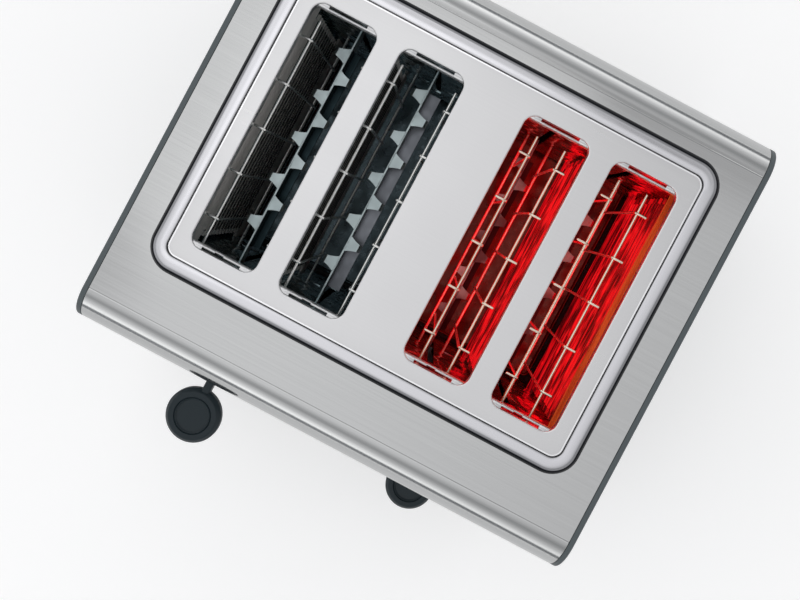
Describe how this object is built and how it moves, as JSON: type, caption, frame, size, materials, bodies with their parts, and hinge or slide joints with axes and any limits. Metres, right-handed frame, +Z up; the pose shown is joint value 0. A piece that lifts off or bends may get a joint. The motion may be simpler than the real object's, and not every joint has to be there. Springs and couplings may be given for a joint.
{
  "type": "electric toaster",
  "caption": "Wide brushed steel toaster with two pairs of bread slots, round lever knobs, dials, buttons, wire bread guides and rear crumb trays.",
  "frame": {"origin": "on the table, under the middle of the toaster's outline with its levers and cord gland", "axes": "+Z up, the lever knobs and dials face -Y, the crumb trays slide out towards +Y, +X to the right of someone who faces the levers"},
  "size_m": [0.283, 0.287, 0.1923],
  "materials": {
    "brushed_steel": "fine brushed stainless steel",
    "satin_steel": "satin stainless steel",
    "polished_steel": "polished",
    "sheet_steel": "plain plated sheet",
    "steel_wire": "drawn wire",
    "dark_plastic": "fine moulded texture",
    "grey_plastic": "fine moulded texture",
    "black_plastic": "fine moulded texture",
    "rubber": "matt",
    "mica": "mica board with flat heating ribbon",
    "glowing_mica": "mica board with glowing ribbon",
    "board_green": "circuit board",
    "copper_coil": "wound coil in a steel yoke"
  },
  "bodies": {
    "housing": {"outer_cover": "brushed_steel", "left_end_cap": "grey_plastic", "right_end_cap": "grey_plastic", "base_plate": "black_plastic", "rubber_foot_1": "rubber", "rubber_foot_2": "rubber", "rubber_foot_3": "rubber", "rubber_foot_4": "rubber", "slot_plate": "satin_steel", "plate_bead": "polished_steel", "front_bulkhead": "sheet_steel", "rear_bulkhead": "sheet_steel", "left_side_shield": "sheet_steel", "right_side_shield": "sheet_steel", "centre_shield": "sheet_steel", "heating_element_1": "mica", "heating_element_2": "mica", "heating_element_3": "mica", "heating_element_4": "glowing_mica", "heating_element_5": "glowing_mica", "heating_element_6": "glowing_mica", "left_guide_rod": "steel_wire", "left_return_spring": "steel_wire", "left_holding_magnet": "copper_coil", "left_control_panel": "black_plastic", "left_control_board": "board_green", "right_guide_rod": "steel_wire", "right_return_spring": "steel_wire", "right_holding_magnet": "copper_coil", "right_control_panel": "black_plastic", "right_control_board": "board_green", "cord_gland": "rubber"},
    "left_lever_set": {"left_lever_knob": "dark_plastic", "left_lever_carriage": "sheet_steel", "bread_rack_1": "sheet_steel", "bread_rack_2": "sheet_steel"},
    "guide_1_left": {"guide_grid_1_left": "steel_wire"},
    "guide_1_right": {"guide_grid_1_right": "steel_wire"},
    "guide_2_left": {"guide_grid_2_left": "steel_wire"},
    "guide_2_right": {"guide_grid_2_right": "steel_wire"},
    "left_dial": {"left_browning_dial": "dark_plastic"},
    "left_push_1": {"left_button_1": "dark_plastic"},
    "left_push_2": {"left_button_2": "dark_plastic"},
    "left_push_3": {"left_button_3": "dark_plastic"},
    "left_tray": {"left_crumb_tray": "sheet_steel"},
    "right_lever_set": {"right_lever_knob": "dark_plastic", "right_lever_carriage": "sheet_steel", "bread_rack_3": "sheet_steel", "bread_rack_4": "sheet_steel"},
    "guide_3_left": {"guide_grid_3_left": "steel_wire"},
    "guide_3_right": {"guide_grid_3_right": "steel_wire"},
    "guide_4_left": {"guide_grid_4_left": "steel_wire"},
    "guide_4_right": {"guide_grid_4_right": "steel_wire"},
    "right_dial": {"right_browning_dial": "dark_plastic"},
    "right_push_1": {"right_button_1": "dark_plastic"},
    "right_push_2": {"right_button_2": "dark_plastic"},
    "right_push_3": {"right_button_3": "dark_plastic"},
    "right_tray": {"right_crumb_tray": "sheet_steel"}
  },
  "joints": [
    {"name": "left_lever", "type": "slide", "parent": "housing", "child": "left_lever_set", "axis": [0, 0, 1], "range_m": [-0.075, 0], "stiffness_N_per_m": 60, "springref_m": 0.05, "deforming": ["left_return_spring"]},
    {"name": "guide_1_left_slide", "type": "slide", "parent": "housing", "child": "guide_1_left", "axis": [1, 0, 0], "range_m": [0, 0.0076]},
    {"name": "guide_1_right_slide", "type": "slide", "parent": "housing", "child": "guide_1_right", "axis": [1, 0, 0], "range_m": [-0.0076, 0]},
    {"name": "guide_2_left_slide", "type": "slide", "parent": "housing", "child": "guide_2_left", "axis": [1, 0, 0], "range_m": [0, 0.0076]},
    {"name": "guide_2_right_slide", "type": "slide", "parent": "housing", "child": "guide_2_right", "axis": [1, 0, 0], "range_m": [-0.0076, 0]},
    {"name": "left_dial_turn", "type": "hinge", "parent": "housing", "child": "left_dial", "pos_m": [-0.0865, -0.115, 0.047], "axis": [0, 1, 0], "range_deg": [-135, 135]},
    {"name": "left_button_1_press", "type": "slide", "parent": "housing", "child": "left_push_1", "axis": [0, 1, 0], "range_m": [0, 0.0015], "stiffness_N_per_m": 400, "springref_m": -0.001},
    {"name": "left_button_2_press", "type": "slide", "parent": "housing", "child": "left_push_2", "axis": [0, 1, 0], "range_m": [0, 0.0015], "stiffness_N_per_m": 400, "springref_m": -0.001},
    {"name": "left_button_3_press", "type": "slide", "parent": "housing", "child": "left_push_3", "axis": [0, 1, 0], "range_m": [0, 0.0015], "stiffness_N_per_m": 400, "springref_m": -0.001},
    {"name": "left_tray_slide", "type": "slide", "parent": "housing", "child": "left_tray", "axis": [0, 1, 0], "range_m": [0, 0.13]},
    {"name": "right_lever", "type": "slide", "parent": "housing", "child": "right_lever_set", "axis": [0, 0, 1], "range_m": [0, 0.075], "deforming": ["right_return_spring"]},
    {"name": "guide_3_left_slide", "type": "slide", "parent": "housing", "child": "guide_3_left", "axis": [1, 0, 0], "range_m": [-0.0076, 0]},
    {"name": "guide_3_right_slide", "type": "slide", "parent": "housing", "child": "guide_3_right", "axis": [1, 0, 0], "range_m": [0, 0.0076]},
    {"name": "guide_4_left_slide", "type": "slide", "parent": "housing", "child": "guide_4_left", "axis": [1, 0, 0], "range_m": [-0.0076, 0]},
    {"name": "guide_4_right_slide", "type": "slide", "parent": "housing", "child": "guide_4_right", "axis": [1, 0, 0], "range_m": [0, 0.0076]},
    {"name": "right_dial_turn", "type": "hinge", "parent": "housing", "child": "right_dial", "pos_m": [0.0425, -0.115, 0.047], "axis": [0, 1, 0], "range_deg": [-135, 135]},
    {"name": "right_button_1_press", "type": "slide", "parent": "housing", "child": "right_push_1", "axis": [0, 1, 0], "range_m": [0, 0.0015], "stiffness_N_per_m": 400, "springref_m": -0.001},
    {"name": "right_button_2_press", "type": "slide", "parent": "housing", "child": "right_push_2", "axis": [0, 1, 0], "range_m": [0, 0.0015], "stiffness_N_per_m": 400, "springref_m": -0.001},
    {"name": "right_button_3_press", "type": "slide", "parent": "housing", "child": "right_push_3", "axis": [0, 1, 0], "range_m": [0, 0.0015], "stiffness_N_per_m": 400, "springref_m": -0.001},
    {"name": "right_tray_slide", "type": "slide", "parent": "housing", "child": "right_tray", "axis": [0, 1, 0], "range_m": [0, 0.13]}
  ],
  "couplings": [
    {"joint": "guide_1_left_slide", "follows": "left_lever", "ratio": -0.10133},
    {"joint": "guide_1_right_slide", "follows": "left_lever", "ratio": 0.10133},
    {"joint": "guide_2_left_slide", "follows": "left_lever", "ratio": -0.10133},
    {"joint": "guide_2_right_slide", "follows": "left_lever", "ratio": 0.10133},
    {"joint": "guide_3_left_slide", "follows": "right_lever", "ratio": -0.10133},
    {"joint": "guide_3_right_slide", "follows": "right_lever", "ratio": 0.10133},
    {"joint": "guide_4_left_slide", "follows": "right_lever", "ratio": -0.10133},
    {"joint": "guide_4_right_slide", "follows": "right_lever", "ratio": 0.10133}
  ]
}
